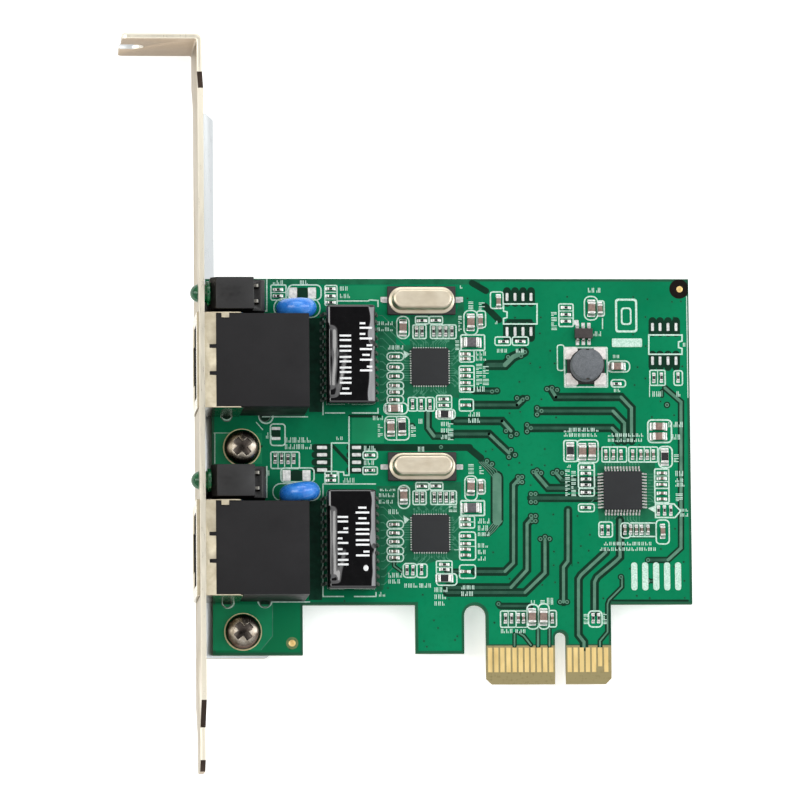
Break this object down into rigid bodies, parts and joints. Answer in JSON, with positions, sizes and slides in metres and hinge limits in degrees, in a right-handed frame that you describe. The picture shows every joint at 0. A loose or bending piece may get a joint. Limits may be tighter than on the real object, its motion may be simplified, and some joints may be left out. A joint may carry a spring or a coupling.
{
  "type": "network interface card",
  "caption": "Plug-in network card: green board with edge connector, full-height bracket with two modular sockets and two green lamps.",
  "frame": {"origin": "under the middle of the whole card's bounding box, at the level of its lowest edge (the solder-side edge of the bracket's tab)", "axes": "+X from the bracket face to the free end of the board, +Y along the bracket towards its screw tab, +Z out of the component side"},
  "size_m": [0.0934, 0.12, 0.0216],
  "materials": {
    "board_green": "green solder mask over copper, slight gloss",
    "gold": "gold-plated copper",
    "bracket_steel": "plated steel sheet, satin",
    "screw_nickel": "nickel-plated steel",
    "socket_black": "moulded black plastic",
    "shield_tin": "tin-plated stamped sheet",
    "insert_black": "moulded black plastic",
    "holder_black": "moulded black plastic",
    "lamp_green": "clear green resin",
    "tinned_wire": "tinned steel wire",
    "disc_blue": "dipped blue resin, glossy",
    "epoxy_black": "moulded black epoxy",
    "tinned_pins": "tinned copper alloy",
    "can_nickel": "drawn nickel-silver can",
    "seat_black": "moulded seat",
    "chip_black": "moulded black epoxy",
    "ferrite": "sintered ferrite",
    "enamel_wire": "enamelled copper wire",
    "ceramic_brown": "sintered ceramic, tinned ends",
    "chip_resistor": "glazed black, tinned ends",
    "bead_grey": "sintered ferrite, tinned ends"
  },
  "bodies": {
    "root": {"pcb": "board_green", "edge_contacts": "gold", "bracket": "bracket_steel", "bracket_screws": "screw_nickel", "jack_1_housing": "socket_black", "jack_2_housing": "socket_black", "jack_1_shield": "shield_tin", "jack_2_shield": "shield_tin", "jack_1_insert": "insert_black", "jack_2_insert": "insert_black", "jack_1_contacts": "gold", "jack_2_contacts": "gold", "led_1_holder": "holder_black", "led_2_holder": "holder_black", "led_1_lens": "lamp_green", "led_2_lens": "lamp_green", "led_leads": "tinned_wire", "disc_capacitor_1": "disc_blue", "disc_capacitor_2": "disc_blue", "disc_capacitor_leads": "tinned_wire", "magnetics_1_body": "epoxy_black", "magnetics_2_body": "epoxy_black", "magnetics_1_pins": "tinned_pins", "magnetics_2_pins": "tinned_pins", "crystal_1_can": "can_nickel", "crystal_2_can": "can_nickel", "crystal_bases": "seat_black", "crystal_leads": "tinned_pins", "transceiver_chip_1": "chip_black", "transceiver_chip_2": "chip_black", "controller_chip": "chip_black", "controller_leads": "tinned_pins", "regulator_chip": "chip_black", "regulator_leads": "tinned_pins", "inductor_base": "seat_black", "inductor_core": "ferrite", "inductor_winding": "enamel_wire", "inductor_terminals": "tinned_pins", "capacitors_large": "ceramic_brown", "capacitors_medium": "ceramic_brown", "capacitors_small": "ceramic_brown", "resistors_small": "chip_resistor", "resistors_large": "chip_resistor", "ferrite_beads": "bead_grey"}
  },
  "joints": []
}
